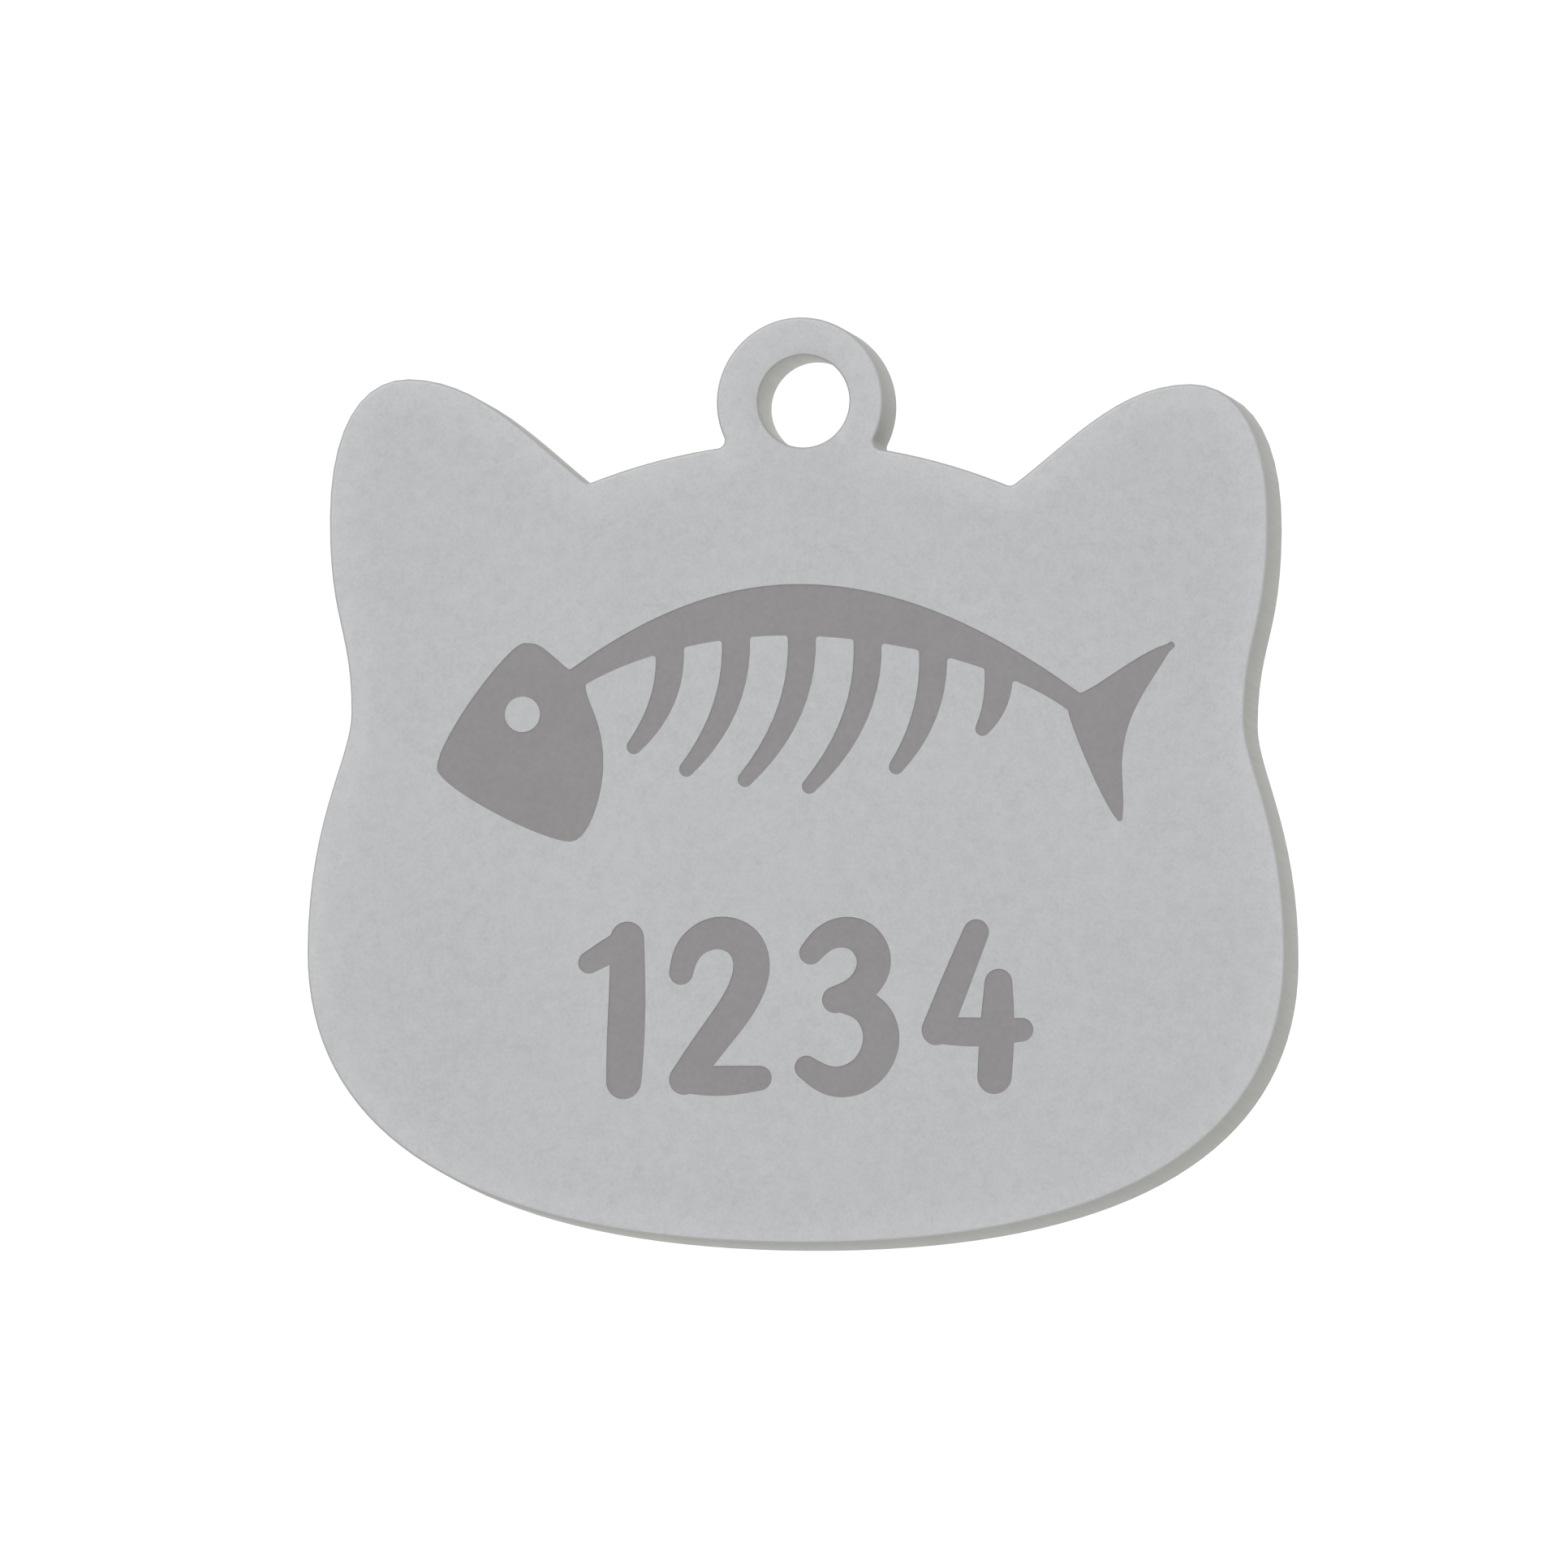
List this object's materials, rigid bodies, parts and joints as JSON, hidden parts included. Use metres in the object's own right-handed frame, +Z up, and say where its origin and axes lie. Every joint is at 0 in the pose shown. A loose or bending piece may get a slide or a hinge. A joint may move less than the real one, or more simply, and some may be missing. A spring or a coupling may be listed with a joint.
{
  "type": "pet id tag",
  "caption": "Flat cat-head shaped pet tag with a round hanging eye on its brow and a dark fishbone inlay level with its front face.",
  "frame": {"origin": "centre of the hanging hole, at mid-thickness of the plate", "axes": "+Z up as the tag hangs, +Y along the hole from the front face to the back face, X across the cheeks"},
  "size_m": [0.03, 0.0024, 0.0282],
  "materials": {
    "plate_metal": "light grey, bead-blasted satin",
    "dark_fill": "matt dark grey fill, ground level with the face"
  },
  "bodies": {
    "root": {"tag_plate": "plate_metal", "fishbone_inlay": "dark_fill"}
  },
  "joints": []
}
